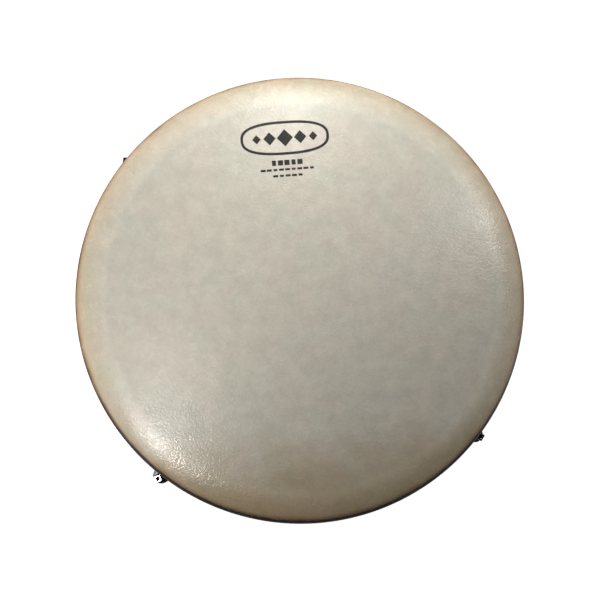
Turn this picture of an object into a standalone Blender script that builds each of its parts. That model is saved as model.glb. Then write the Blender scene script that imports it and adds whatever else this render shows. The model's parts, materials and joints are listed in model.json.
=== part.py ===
"""Goblet hand drum, tuned with a drum key: a turned wooden shell with a film head held by four rods.

The drum stands on its foot ring at z = 0 and its axis is Z.  Metres throughout.
"""

from math import cos, degrees, pi, radians, sin, sqrt, tan

import bmesh
import bpy
from mathutils import Matrix, Vector

# Driving dimensions
DRUM_HEIGHT = 0.610
HEAD_RADIUS = 0.1524
TENSION_ANGLES = (52.0, 142.0, 232.0, 322.0)
ROD_CIRCLE_RADIUS = 0.1628
GAP = 0.0003

# Film head
FILM_THICKNESS = 0.0006
EDGE_SLOPE = radians(4.0)
FILM_SHOULDER_RADIUS = 0.0070
FILM_HEM_RADIUS = 0.1544
FILM_HEM_TOP_DEPTH = 0.0370
FILM_HEM_END_DEPTH = 0.0490

# Wooden shell
EDGE_WALL = 0.0240
SHELL_INNER_LIP = 0.0050
SHELL_BAND_RADIUS = 0.1496
SHELL_TAPER_END_DEPTH = 0.0350
BOWL_TOP_Z = 0.460
NECK_Z = 0.212
NECK_RADIUS = 0.0680
NECK_BORE_RADIUS = 0.0460
NECK_BEAD = 0.0040
NECK_BEAD_HALF_HEIGHT = 0.0110
FOOT_RADIUS = 0.1130
FOOT_BORE_RADIUS = 0.0890
FOOT_LAND_HEIGHT = 0.0160

# Flesh hoop: the channel that the film's hem stands in
CHANNEL_INNER_RADIUS = 0.1512
CHANNEL_OUTER_RADIUS = 0.1572
CHANNEL_WALL = 0.0010
CHANNEL_HEIGHT = 0.0130

# Counterhoop: an angle ring with four ears
FLANGE_TOP_DEPTH = 0.0388
FLANGE_THICKNESS = 0.0022
FLANGE_INNER_RADIUS = 0.1556
FLANGE_OUTER_RADIUS = 0.1624
SKIRT_INNER_RADIUS = 0.1576
SKIRT_OUTER_RADIUS = 0.1594
SKIRT_END_DEPTH = 0.0560
EAR_RADIUS = 0.0063
EAR_RISE = 0.0004

# Tension rods and their washers
ROD_RADIUS = 0.00265
ROD_HOLE_RADIUS = 0.0031
ROD_END_DEPTH = 0.1230
ROD_COLLAR_RADIUS = 0.0048
ROD_COLLAR_HEIGHT = 0.0018
KEY_SQUARE = 0.0056
KEY_HEAD_TOP_DEPTH = 0.0280
KEY_DIMPLE_RADIUS = 0.0010
WASHER_RADIUS = 0.0060
WASHER_THICKNESS = 0.0014

# Lugs
LUG_CENTRE_DEPTH = 0.0970
PLATE_WIDTH = 0.0260
PLATE_HEIGHT = 0.0580
PLATE_THICKNESS = 0.0030
PLATE_CORNER = 0.0080
GASKET_THICKNESS = 0.0015
GASKET_MARGIN = 0.0010
BOSS_RADIUS = 0.0075
BOSS_HEIGHT = 0.0240
WEB_WIDTH = 0.0110
NUT_BARREL_RADIUS = 0.0043
NUT_FLANGE_RADIUS = 0.0064
NUT_FLANGE_HEIGHT = 0.0028
LUG_BOLT_OFFSET = 0.0205
LUG_BOLT_RADIUS = 0.0025
LUG_BOLT_HEAD_RADIUS = 0.0048
LUG_BOLT_HEAD_HEIGHT = 0.0028
LUG_BOLT_TAIL = 0.0020
BACKING_WIDTH = 0.0150
BACKING_THICKNESS = 0.0016
BACKING_CORNER = 0.0050
HEX_NUT_RADIUS = 0.0046
HEX_NUT_HEIGHT = 0.0040

# Foot ring and its screws
FOOT_PAD_HEIGHT = 0.0060
FOOT_LIP_THICKNESS = 0.0035
FOOT_LIP_HEIGHT = 0.0180
FOOT_RING_BORE_RADIUS = 0.0860
FOOT_SCREW_COUNT = 6
FOOT_SCREW_Z = 0.0125
FOOT_SCREW_RADIUS = 0.0016
FOOT_SCREW_LENGTH = 0.0120
FOOT_SCREW_HEAD_RADIUS = 0.0034
FOOT_SCREW_HEAD_HEIGHT = 0.0018

# Facets
TURN_STEPS = 48
HOLE_SIDES = 10
SMALL_SIDES = 14
OVERCUT = 0.004


def depth(below_head):
    """Height above the floor of a level given as a depth below the head."""
    return DRUM_HEIGHT - below_head


# Derived dimensions
SHELL_OUTER_RADIUS = HEAD_RADIUS - FILM_THICKNESS - GAP
SHELL_INNER_RADIUS = SHELL_OUTER_RADIUS - EDGE_WALL
SHELL_TOP_DEPTH = FILM_THICKNESS + GAP
CROWN_RADIUS = SHELL_INNER_RADIUS + SHELL_INNER_LIP
SHELL_FOOT_Z = FOOT_PAD_HEIGHT + GAP
FLANGE_BOTTOM_DEPTH = FLANGE_TOP_DEPTH + FLANGE_THICKNESS
CHANNEL_TOP_DEPTH = FLANGE_BOTTOM_DEPTH + GAP
EAR_TOP_DEPTH = FLANGE_TOP_DEPTH - EAR_RISE
WASHER_BOTTOM_DEPTH = EAR_TOP_DEPTH - GAP
WASHER_TOP_DEPTH = WASHER_BOTTOM_DEPTH - WASHER_THICKNESS
ROD_COLLAR_BOTTOM_DEPTH = WASHER_TOP_DEPTH - GAP
ROD_COLLAR_TOP_DEPTH = ROD_COLLAR_BOTTOM_DEPTH - ROD_COLLAR_HEIGHT
GASKET_INNER_RADIUS = SHELL_BAND_RADIUS + GAP
GASKET_OUTER_RADIUS = GASKET_INNER_RADIUS + GASKET_THICKNESS
PLATE_INNER_RADIUS = GASKET_OUTER_RADIUS + GAP
PLATE_OUTER_RADIUS = PLATE_INNER_RADIUS + PLATE_THICKNESS
BOSS_BORE_RADIUS = NUT_BARREL_RADIUS + GAP
BOSS_BOTTOM_DEPTH = LUG_CENTRE_DEPTH + BOSS_HEIGHT / 2
LUG_BOLT_HOLE_RADIUS = LUG_BOLT_RADIUS + GAP
CAVITY_FLAT_RADIUS = SHELL_INNER_RADIUS * cos(pi / TURN_STEPS)
BACKING_OUTER_RADIUS = sqrt(CAVITY_FLAT_RADIUS**2 - (BACKING_WIDTH / 2) ** 2) - GAP
BACKING_INNER_RADIUS = BACKING_OUTER_RADIUS - BACKING_THICKNESS
HEX_NUT_END = BACKING_INNER_RADIUS - GAP - HEX_NUT_HEIGHT
LUG_BOLT_END = HEX_NUT_END - LUG_BOLT_TAIL
FOOT_LIP_INNER_RADIUS = FOOT_RADIUS + GAP
FOOT_LIP_OUTER_RADIUS = FOOT_LIP_INNER_RADIUS + FOOT_LIP_THICKNESS


def clear_scene():
    for item in list(bpy.data.objects):
        bpy.data.objects.remove(item, do_unlink=True)


def new_collection(name):
    group = bpy.data.collections.new(name)
    bpy.context.scene.collection.children.link(group)
    return group


def new_material(name, colour, roughness, metallic):
    material = bpy.data.materials.new(name)
    material.use_nodes = True
    shader = material.node_tree.nodes["Principled BSDF"]
    shader.inputs["Base Color"].default_value = (*colour, 1.0)
    shader.inputs["Roughness"].default_value = roughness
    shader.inputs["Metallic"].default_value = metallic
    return material


clear_scene()
PARTS = new_collection("goblet_hand_drum")
CUTTERS = new_collection("cutters")
WOOD = new_material("stained_wood", (0.085, 0.034, 0.016), 0.35, 0.0)
FILM = new_material("mottled_film", (0.62, 0.57, 0.47), 0.45, 0.0)
ALUMINIUM = new_material("plain_aluminium", (0.62, 0.62, 0.63), 0.40, 1.0)
BLACK_METAL = new_material("black_enamel", (0.012, 0.012, 0.013), 0.25, 0.0)
CHROME = new_material("chrome", (0.75, 0.75, 0.76), 0.12, 1.0)
STEEL = new_material("zinc_steel", (0.52, 0.53, 0.54), 0.35, 1.0)
RUBBER = new_material("black_rubber", (0.018, 0.018, 0.018), 0.75, 0.0)


# ---------------------------------------------------------------- shape helpers
def link_mesh(mesh_builder, name, group, material=None):
    """Turns a bmesh into an object in the given collection."""
    mesh = bpy.data.meshes.new(name)
    mesh_builder.to_mesh(mesh)
    mesh_builder.free()
    mesh.shade_smooth()
    mesh.set_sharp_from_angle(angle=radians(35))
    item = bpy.data.objects.new(name, mesh)
    if material:
        mesh.materials.append(material)
    group.objects.link(item)
    return item


def add_cylinder(mesh_builder, radius, start, end, sides, top_radius=None):
    """Adds a closed cylinder or cone whose axis runs between two points."""
    start, end = Vector(start), Vector(end)
    run = end - start
    turn = Vector((0, 0, 1)).rotation_difference(run.normalized()).to_matrix().to_4x4()
    bmesh.ops.create_cone(
        mesh_builder,
        cap_ends=True,
        segments=sides,
        radius1=radius,
        radius2=radius if top_radius is None else top_radius,
        depth=run.length,
        matrix=Matrix.Translation((start + end) / 2) @ turn,
    )


def add_box(mesh_builder, low, high):
    """Adds a closed box between two corners."""
    low, high = Vector(low), Vector(high)
    size = Matrix.Diagonal((*(high - low), 1.0))
    bmesh.ops.create_cube(mesh_builder, size=1.0, matrix=Matrix.Translation((low + high) / 2) @ size)


def turned(name, profile, group, material, steps=TURN_STEPS, closed=True):
    """Turns a profile of (radius, height) points about Z.  It runs down its outer side."""
    mesh_builder = bmesh.new()
    points = [mesh_builder.verts.new((radius, 0.0, height)) for radius, height in profile]
    pairs = list(zip(points, points[1:]))
    if closed:
        pairs.append((points[-1], points[0]))
    for first, second in pairs:
        mesh_builder.edges.new((first, second))
    item = link_mesh(mesh_builder, name, group, material)
    screw = item.modifiers.new("turn", "SCREW")
    screw.axis = "Z"
    screw.angle = 2 * pi
    screw.steps = steps
    screw.render_steps = steps
    screw.use_merge_vertices = True
    screw.merge_threshold = 0.00002
    return item


def boolean(item, other, operation):
    """Cuts or joins another object, which becomes a guide in the cutters collection."""
    modifier = item.modifiers.new(operation.lower(), "BOOLEAN")
    modifier.operation = operation
    modifier.object = other
    modifier.solver = "EXACT"
    other.hide_render = True
    other.display_type = "WIRE"


def cutter(name, build):
    """Makes a guide object from a function that fills a bmesh."""
    mesh_builder = bmesh.new()
    build(mesh_builder)
    return link_mesh(mesh_builder, name, CUTTERS)


def solid(name, build, material):
    """Makes a part from a function that fills a bmesh."""
    mesh_builder = bmesh.new()
    build(mesh_builder)
    return link_mesh(mesh_builder, name, PARTS, material)


def arc(centre_radius, centre_height, radius, start, end, count):
    """Points of an arc in the profile plane; angles in degrees from +X towards +Z."""
    angles = [radians(start + (end - start) * i / (count - 1)) for i in range(count)]
    return [(centre_radius + radius * cos(a), centre_height + radius * sin(a)) for a in angles]


def eased(low_radius, high_radius, low_height, high_height, count):
    """Points down an S-shaped wall from its wide top to its narrow bottom."""
    points = []
    for i in range(count):
        t = i / (count - 1)
        radius = low_radius + (high_radius - low_radius) * (1 + cos(pi * t)) / 2
        points.append((radius, high_height + (low_height - high_height) * t))
    return points


def flared(top_radius, foot_radius, top_height, foot_height, count):
    """Points down a stem that opens into a foot, steep at the top and wide at the bottom."""
    points = []
    for i in range(count):
        t = i / (count - 1)
        radius = top_radius + (foot_radius - top_radius) * (1 - cos(pi * t / 2)) ** 0.85
        points.append((radius, top_height + (foot_height - top_height) * t))
    return points


def at_angle(angle, radius, height):
    """World position at an angle round the drum's axis, a radius and a height."""
    a = radians(angle)
    return Vector((radius * cos(a), radius * sin(a), height))


def station(index, angle):
    """The empty that carries one tension point's pieces: X points out of the drum."""
    empty = bpy.data.objects.new(f"tension_station_{index}", None)
    empty.rotation_euler = (0.0, 0.0, radians(angle))
    empty.empty_display_size = 0.02
    PARTS.objects.link(empty)
    return empty


def place(item, parent, location, rotation=(0.0, 0.0, 0.0)):
    item.parent = parent
    item.location = location
    item.rotation_euler = rotation


def lug_bolt_levels():
    middle = depth(LUG_CENTRE_DEPTH)
    return (middle + LUG_BOLT_OFFSET, middle - LUG_BOLT_OFFSET)


def foot_screw_angles():
    return [TENSION_ANGLES[0] + 360.0 * i / FOOT_SCREW_COUNT for i in range(FOOT_SCREW_COUNT)]


# ---------------------------------------------------------------- turned pieces
def shoulder_points(inset):
    """The rounded outer corner of the bearing edge, moved in from the film's face by an inset.

    Inside it the edge falls outwards at EDGE_SLOPE from the crown, and the corner starts along that slope.
    """
    centre_radius = HEAD_RADIUS - FILM_SHOULDER_RADIUS
    drop = (centre_radius + FILM_SHOULDER_RADIUS * sin(EDGE_SLOPE) - CROWN_RADIUS) * tan(EDGE_SLOPE)
    centre_height = depth(drop) - FILM_SHOULDER_RADIUS * cos(EDGE_SLOPE)
    start = 90.0 - degrees(EDGE_SLOPE)
    return arc(centre_radius, centre_height, FILM_SHOULDER_RADIUS - inset, start, 0, 4)


def shell_profile():
    """The goblet's wall: the bearing edge, bowl, neck bead and foot, then back up the bore."""
    top = depth(SHELL_TOP_DEPTH)
    foot_top = SHELL_FOOT_Z + FOOT_LAND_HEIGHT
    lip = SHELL_INNER_LIP
    profile = shoulder_points(SHELL_TOP_DEPTH)
    profile.append((SHELL_BAND_RADIUS, depth(SHELL_TAPER_END_DEPTH)))
    profile += eased(NECK_RADIUS, SHELL_BAND_RADIUS, NECK_Z + NECK_BEAD_HALF_HEIGHT, BOWL_TOP_Z, 8)
    profile += arc(NECK_RADIUS, NECK_Z, NECK_BEAD, 45, -45, 3)
    profile += flared(NECK_RADIUS, FOOT_RADIUS, NECK_Z - NECK_BEAD_HALF_HEIGHT, foot_top, 6)
    profile.append((FOOT_RADIUS, SHELL_FOOT_Z))
    profile += reversed(flared(NECK_BORE_RADIUS, FOOT_BORE_RADIUS, NECK_Z, SHELL_FOOT_Z, 5))
    profile += list(reversed(eased(NECK_BORE_RADIUS, SHELL_INNER_RADIUS, NECK_Z, BOWL_TOP_Z, 7)))[1:]
    profile += reversed(arc(SHELL_INNER_RADIUS + lip, top - lip, lip, 90, 180, 3))
    return profile


def build_shell():
    shell = turned("shell", shell_profile(), PARTS, WOOD)

    def holes(mesh_builder):
        for angle in TENSION_ANGLES:
            for level in lug_bolt_levels():
                inside = at_angle(angle, SHELL_INNER_RADIUS - OVERCUT, level)
                outside = at_angle(angle, SHELL_BAND_RADIUS + OVERCUT, level)
                add_cylinder(mesh_builder, LUG_BOLT_HOLE_RADIUS, inside, outside, HOLE_SIDES)
        for angle in foot_screw_angles():
            inside = at_angle(angle, FOOT_LIP_OUTER_RADIUS - FOOT_SCREW_LENGTH - 2 * GAP, FOOT_SCREW_Z)
            outside = at_angle(angle, FOOT_RADIUS + OVERCUT, FOOT_SCREW_Z)
            add_cylinder(mesh_builder, FOOT_SCREW_RADIUS + GAP, inside, outside, HOLE_SIDES)

    boolean(shell, cutter("shell_holes", holes), "DIFFERENCE")


def film_side(inset):
    """One face of the film from the drum's axis to the end of its hem."""
    points = [(0.0, depth(inset)), (CROWN_RADIUS, depth(inset))]
    points += shoulder_points(inset)
    points.append((FILM_HEM_RADIUS - inset, depth(FILM_HEM_TOP_DEPTH)))
    points.append((FILM_HEM_RADIUS - inset, depth(FILM_HEM_END_DEPTH)))
    return points


def build_head_film():
    profile = film_side(0.0) + list(reversed(film_side(FILM_THICKNESS)))
    turned("head_film", profile, PARTS, FILM, closed=False)


def build_flesh_hoop():
    outer, inner, wall = CHANNEL_OUTER_RADIUS, CHANNEL_INNER_RADIUS, CHANNEL_WALL
    top = depth(CHANNEL_TOP_DEPTH)
    bottom = top - CHANNEL_HEIGHT
    profile = [
        (outer, top),
        (outer, bottom),
        (inner, bottom),
        (inner, top),
        (inner + wall, top),
        (inner + wall, bottom + wall),
        (outer - wall, bottom + wall),
        (outer - wall, top),
    ]
    turned("flesh_hoop", profile, PARTS, ALUMINIUM)


def build_counterhoop():
    top = depth(FLANGE_TOP_DEPTH)
    under = depth(FLANGE_BOTTOM_DEPTH)
    end = depth(SKIRT_END_DEPTH)
    profile = [
        (FLANGE_OUTER_RADIUS, top),
        (FLANGE_OUTER_RADIUS, under),
        (SKIRT_OUTER_RADIUS, under),
        (SKIRT_OUTER_RADIUS, end),
        (SKIRT_INNER_RADIUS, end),
        (SKIRT_INNER_RADIUS, under),
        (FLANGE_INNER_RADIUS, under),
        (FLANGE_INNER_RADIUS, top),
    ]
    hoop = turned("counterhoop", profile, PARTS, BLACK_METAL)

    def ears(mesh_builder):
        for angle in TENSION_ANGLES:
            low = at_angle(angle, ROD_CIRCLE_RADIUS, under + GAP)
            high = at_angle(angle, ROD_CIRCLE_RADIUS, depth(EAR_TOP_DEPTH))
            add_cylinder(mesh_builder, EAR_RADIUS, low, high, SMALL_SIDES)

    def rod_holes(mesh_builder):
        for angle in TENSION_ANGLES:
            low = at_angle(angle, ROD_CIRCLE_RADIUS, under - OVERCUT / 4)
            high = at_angle(angle, ROD_CIRCLE_RADIUS, top + OVERCUT)
            add_cylinder(mesh_builder, ROD_HOLE_RADIUS, low, high, HOLE_SIDES)

    boolean(hoop, cutter("hoop_ears", ears), "UNION")
    boolean(hoop, cutter("hoop_rod_holes", rod_holes), "DIFFERENCE")


def build_foot_ring():
    profile = [
        (FOOT_LIP_OUTER_RADIUS, FOOT_LIP_HEIGHT),
        (FOOT_LIP_OUTER_RADIUS, 0.0),
        (FOOT_RING_BORE_RADIUS, 0.0),
        (FOOT_RING_BORE_RADIUS, FOOT_PAD_HEIGHT),
        (FOOT_LIP_INNER_RADIUS, FOOT_PAD_HEIGHT),
        (FOOT_LIP_INNER_RADIUS, FOOT_LIP_HEIGHT),
    ]
    ring = turned("foot_ring", profile, PARTS, RUBBER)

    def holes(mesh_builder):
        for angle in foot_screw_angles():
            inside = at_angle(angle, FOOT_RADIUS - OVERCUT / 2, FOOT_SCREW_Z)
            outside = at_angle(angle, FOOT_LIP_OUTER_RADIUS + OVERCUT, FOOT_SCREW_Z)
            add_cylinder(mesh_builder, FOOT_SCREW_RADIUS + GAP, inside, outside, HOLE_SIDES)

    boolean(ring, cutter("foot_ring_holes", holes), "DIFFERENCE")


def build_foot_ring_screws():
    """Round-headed screws that hold the foot ring's lip to the wood."""
    profile = [
        (0.0, FOOT_SCREW_HEAD_HEIGHT),
        (FOOT_SCREW_HEAD_RADIUS * 0.7, FOOT_SCREW_HEAD_HEIGHT * 0.8),
        (FOOT_SCREW_HEAD_RADIUS, 0.0),
        (FOOT_SCREW_RADIUS, 0.0),
        (FOOT_SCREW_RADIUS, -FOOT_SCREW_LENGTH * 0.8),
        (0.0, -FOOT_SCREW_LENGTH),
    ]
    for index, angle in enumerate(foot_screw_angles(), start=1):
        name = f"foot_ring_screw_{index}"
        screw = turned(name, profile, PARTS, STEEL, steps=12, closed=False)
        screw.location = at_angle(angle, FOOT_LIP_OUTER_RADIUS + GAP, FOOT_SCREW_Z)
        screw.rotation_euler = (0.0, pi / 2, radians(angle))


# ---------------------------------------------------------------- pieces at each tension point
def ring_profile(outer, inner, start, end):
    """Closed section of a plain ring between two heights, from its outer top edge."""
    return [(outer, end), (outer, start), (inner, start), (inner, end)]


def build_rod(index, empty):
    """A tension rod with its square key head; its origin is on its own axis."""
    top = depth(KEY_HEAD_TOP_DEPTH)
    collar_top = depth(ROD_COLLAR_TOP_DEPTH) - top
    collar_bottom = depth(ROD_COLLAR_BOTTOM_DEPTH) - top
    end = depth(ROD_END_DEPTH) - top
    profile = [
        (0.0, collar_top + 0.0006),
        (KEY_SQUARE * 0.56, collar_top + 0.0006),
        (ROD_COLLAR_RADIUS, collar_top - 0.0004),
        (ROD_COLLAR_RADIUS, collar_bottom),
        (ROD_RADIUS, collar_bottom),
        (ROD_RADIUS, end + 0.0010),
        (ROD_RADIUS - 0.0010, end),
        (0.0, end),
    ]
    rod = turned(f"tension_rod_{index}", profile, PARTS, CHROME, steps=SMALL_SIDES, closed=False)
    place(rod, empty, (ROD_CIRCLE_RADIUS, 0.0, top))
    half = KEY_SQUARE / 2

    def key_head(mesh_builder):
        add_box(mesh_builder, (-half, -half, collar_top - 0.0006), (half, half, 0.0))
        bmesh.ops.bevel(
            mesh_builder, geom=mesh_builder.edges[:], offset=0.0005, segments=1, affect="EDGES"
        )

    def dimple(mesh_builder):
        low, high = (0, 0, -0.0008), (0, 0, 0.0008)
        add_cylinder(mesh_builder, 0.0002, low, high, 10, top_radius=2 * KEY_DIMPLE_RADIUS)

    for name, build, operation in (("key", key_head, "UNION"), ("dimple", dimple, "DIFFERENCE")):
        guide = cutter(f"{name}_{index}", build)
        place(guide, empty, (ROD_CIRCLE_RADIUS, 0.0, top))
        boolean(rod, guide, operation)


def build_rod_washer(index, empty):
    section = ring_profile(
        WASHER_RADIUS, ROD_HOLE_RADIUS, 0.0, depth(WASHER_TOP_DEPTH) - depth(WASHER_BOTTOM_DEPTH)
    )
    washer = turned(f"rod_washer_{index}", section, PARTS, BLACK_METAL, steps=SMALL_SIDES + 4)
    place(washer, empty, (ROD_CIRCLE_RADIUS, 0.0, depth(WASHER_BOTTOM_DEPTH)))


def rounded_plate(mesh_builder, inner, outer, width, height, corner, middle):
    """Adds a plate that faces out of the drum, with rounded corners."""
    low = (inner, -width / 2, middle - height / 2)
    high = (outer, width / 2, middle + height / 2)
    before = set(mesh_builder.edges)
    add_box(mesh_builder, low, high)
    corners = []
    for edge in set(mesh_builder.edges) - before:
        along = edge.verts[1].co - edge.verts[0].co
        if abs(along.x) > max(abs(along.y), abs(along.z)):
            corners.append(edge)
    bmesh.ops.bevel(mesh_builder, geom=corners, offset=corner, segments=3, affect="EDGES", profile=0.5)


def bolt_holes(mesh_builder):
    for level in lug_bolt_levels():
        inside = (GASKET_INNER_RADIUS - OVERCUT, 0, level)
        outside = (PLATE_OUTER_RADIUS + OVERCUT, 0, level)
        add_cylinder(mesh_builder, LUG_BOLT_HOLE_RADIUS, inside, outside, HOLE_SIDES)


def build_lug_gasket(index, empty):
    middle = depth(LUG_CENTRE_DEPTH)

    def plate(mesh_builder):
        inner = GASKET_INNER_RADIUS - OVERCUT
        width = PLATE_WIDTH + 2 * GASKET_MARGIN
        height = PLATE_HEIGHT + 2 * GASKET_MARGIN
        corner = PLATE_CORNER + GASKET_MARGIN
        rounded_plate(mesh_builder, inner, GASKET_OUTER_RADIUS, width, height, corner, middle)

    def shell_face(mesh_builder):
        low = (0, 0, middle - PLATE_HEIGHT)
        high = (0, 0, middle + PLATE_HEIGHT)
        add_cylinder(mesh_builder, GASKET_INNER_RADIUS, low, high, 3 * TURN_STEPS)

    gasket = solid(f"lug_gasket_{index}", plate, RUBBER)
    place(gasket, empty, (0, 0, 0))
    for name, build in (("gasket_face", shell_face), ("gasket_bolts", bolt_holes)):
        guide = cutter(f"{name}_{index}", build)
        place(guide, empty, (0, 0, 0))
        boolean(gasket, guide, "DIFFERENCE")


def build_lug_bracket(index, empty):
    """The cast bracket: a plate on the gasket, and a boss on a web that holds the nut."""
    middle = depth(LUG_CENTRE_DEPTH)

    def plate(mesh_builder):
        faces = (PLATE_INNER_RADIUS, PLATE_OUTER_RADIUS)
        rounded_plate(mesh_builder, *faces, PLATE_WIDTH, PLATE_HEIGHT, PLATE_CORNER, middle)

    def boss(mesh_builder):
        low = (ROD_CIRCLE_RADIUS, 0, middle - BOSS_HEIGHT / 2)
        high = (ROD_CIRCLE_RADIUS, 0, middle + BOSS_HEIGHT / 2)
        add_cylinder(mesh_builder, BOSS_RADIUS, low, high, SMALL_SIDES + 4)

    def web(mesh_builder):
        half = BOSS_HEIGHT / 2 - 0.0015
        low = (PLATE_OUTER_RADIUS - PLATE_THICKNESS / 2, -WEB_WIDTH / 2, middle - half)
        high = (ROD_CIRCLE_RADIUS - 0.001, WEB_WIDTH / 2, middle + half)
        add_box(mesh_builder, low, high)

    def bore(mesh_builder):
        low = (ROD_CIRCLE_RADIUS, 0, middle - BOSS_HEIGHT)
        high = (ROD_CIRCLE_RADIUS, 0, middle + BOSS_HEIGHT)
        add_cylinder(mesh_builder, BOSS_BORE_RADIUS, low, high, SMALL_SIDES)

    bracket = solid(f"lug_bracket_{index}", plate, BLACK_METAL)
    place(bracket, empty, (0, 0, 0))
    steps = (
        ("lug_web", web, "UNION"),
        ("lug_boss", boss, "UNION"),
        ("lug_bore", bore, "DIFFERENCE"),
        ("lug_bolt_holes", bolt_holes, "DIFFERENCE"),
    )
    for name, build, operation in steps:
        guide = cutter(f"{name}_{index}", build)
        place(guide, empty, (0, 0, 0))
        boolean(bracket, guide, operation)


def build_lug_nut(index, empty):
    """The swivel nut: its barrel fills the boss and its flange pulls up against the boss's foot."""
    flange_top = depth(BOSS_BOTTOM_DEPTH) - GAP
    flange_bottom = flange_top - NUT_FLANGE_HEIGHT
    barrel_top = depth(LUG_CENTRE_DEPTH) + BOSS_HEIGHT / 2 + 0.0006
    bore = ROD_RADIUS + 0.0004
    profile = [
        (NUT_BARREL_RADIUS, barrel_top - flange_bottom),
        (NUT_BARREL_RADIUS, flange_top - flange_bottom),
        (NUT_FLANGE_RADIUS, flange_top - flange_bottom),
        (NUT_FLANGE_RADIUS, 0.0),
        (bore, 0.0),
        (bore, barrel_top - flange_bottom),
    ]
    nut = turned(f"lug_nut_{index}", profile, PARTS, CHROME, steps=SMALL_SIDES)
    place(nut, empty, (ROD_CIRCLE_RADIUS, 0.0, flange_bottom))


def build_backing_plate(index, empty):
    """The steel strap inside the wall that the lug's two nuts pull against."""
    middle = depth(LUG_CENTRE_DEPTH)

    def plate(mesh_builder):
        faces = (BACKING_INNER_RADIUS, BACKING_OUTER_RADIUS)
        rounded_plate(mesh_builder, *faces, BACKING_WIDTH, PLATE_HEIGHT, BACKING_CORNER, middle)

    def holes(mesh_builder):
        for level in lug_bolt_levels():
            inside = (BACKING_INNER_RADIUS - OVERCUT, 0, level)
            outside = (BACKING_OUTER_RADIUS + OVERCUT, 0, level)
            add_cylinder(mesh_builder, LUG_BOLT_HOLE_RADIUS, inside, outside, HOLE_SIDES)

    strap = solid(f"lug_backing_plate_{index}", plate, STEEL)
    place(strap, empty, (0, 0, 0))
    guide = cutter(f"backing_holes_{index}", holes)
    place(guide, empty, (0, 0, 0))
    boolean(strap, guide, "DIFFERENCE")


def build_lug_bolts(index, empty):
    """Two round-headed bolts through bracket, gasket and wall, each with its hexagon nut."""
    base = PLATE_OUTER_RADIUS + GAP
    length = base - LUG_BOLT_END
    bolt_profile = [
        (0.0, LUG_BOLT_HEAD_HEIGHT),
        (LUG_BOLT_HEAD_RADIUS * 0.55, LUG_BOLT_HEAD_HEIGHT * 0.86),
        (LUG_BOLT_HEAD_RADIUS * 0.9, LUG_BOLT_HEAD_HEIGHT * 0.45),
        (LUG_BOLT_HEAD_RADIUS, 0.0),
        (LUG_BOLT_RADIUS, 0.0),
        (LUG_BOLT_RADIUS, -length),
        (0.0, -length),
    ]
    bore = LUG_BOLT_HOLE_RADIUS / cos(pi / 6)
    nut_profile = ring_profile(HEX_NUT_RADIUS, bore, 0.0, HEX_NUT_HEIGHT)
    outward = (0.0, pi / 2, 0.0)
    for side, level in zip(("upper", "lower"), lug_bolt_levels()):
        name = f"lug_bolt_{index}_{side}"
        bolt = turned(name, bolt_profile, PARTS, BLACK_METAL, steps=SMALL_SIDES, closed=False)
        place(bolt, empty, (base, 0.0, level), outward)
        nut = turned(f"lug_bolt_nut_{index}_{side}", nut_profile, PARTS, STEEL, steps=6)
        place(nut, empty, (HEX_NUT_END, 0.0, level), outward)


def build_tension_points():
    for index, angle in enumerate(TENSION_ANGLES, start=1):
        empty = station(index, angle)
        build_lug_bolts(index, empty)
        build_backing_plate(index, empty)
        build_rod(index, empty)
        build_rod_washer(index, empty)
        build_lug_bracket(index, empty)
        build_lug_gasket(index, empty)
        build_lug_nut(index, empty)


build_shell()
build_head_film()
build_flesh_hoop()
build_counterhoop()
build_tension_points()
build_foot_ring()
build_foot_ring_screws()
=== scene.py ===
"""The drum's looks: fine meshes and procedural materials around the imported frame.  Metres throughout."""

import json
from math import atan2, cos, degrees, hypot, pi, radians, sin

import bmesh
import bpy
from mathutils import Matrix, Vector


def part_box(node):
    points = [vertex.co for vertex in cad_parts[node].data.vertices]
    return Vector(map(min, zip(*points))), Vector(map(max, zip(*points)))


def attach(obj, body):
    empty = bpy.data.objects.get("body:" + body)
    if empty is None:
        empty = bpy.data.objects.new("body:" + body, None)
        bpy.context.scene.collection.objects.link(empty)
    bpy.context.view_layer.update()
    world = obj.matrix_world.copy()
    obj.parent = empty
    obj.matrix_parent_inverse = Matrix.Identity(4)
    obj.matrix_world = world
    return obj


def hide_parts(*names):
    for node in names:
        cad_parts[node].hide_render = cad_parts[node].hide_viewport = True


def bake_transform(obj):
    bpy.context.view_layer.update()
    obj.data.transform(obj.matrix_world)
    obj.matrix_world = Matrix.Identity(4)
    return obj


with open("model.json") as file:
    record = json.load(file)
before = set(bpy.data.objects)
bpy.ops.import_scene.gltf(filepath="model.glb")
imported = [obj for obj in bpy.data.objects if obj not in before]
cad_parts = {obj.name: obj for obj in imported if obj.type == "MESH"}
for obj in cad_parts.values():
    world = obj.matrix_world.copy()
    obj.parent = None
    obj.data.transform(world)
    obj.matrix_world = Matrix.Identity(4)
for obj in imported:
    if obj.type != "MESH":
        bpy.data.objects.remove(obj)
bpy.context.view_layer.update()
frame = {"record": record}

# Places read from the frame
HEAD_LOW, HEAD_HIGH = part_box("head_film")
HOOP_LOW, HOOP_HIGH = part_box("counterhoop")
CHANNEL_LOW, CHANNEL_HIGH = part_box("flesh_hoop")
SHELL_LOW, SHELL_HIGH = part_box("shell")
FOOT_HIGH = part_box("foot_ring")[1]
HEAD_TOP = HEAD_HIGH.z
RODS = [joint for joint in frame["record"]["behaviour"]["joints"] if joint["type"] == "hinge"]
STATIONS = [degrees(atan2(joint["pos_m"][1], joint["pos_m"][0])) for joint in RODS]
ROD_CIRCLE = hypot(*RODS[0]["pos_m"][:2])

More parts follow.
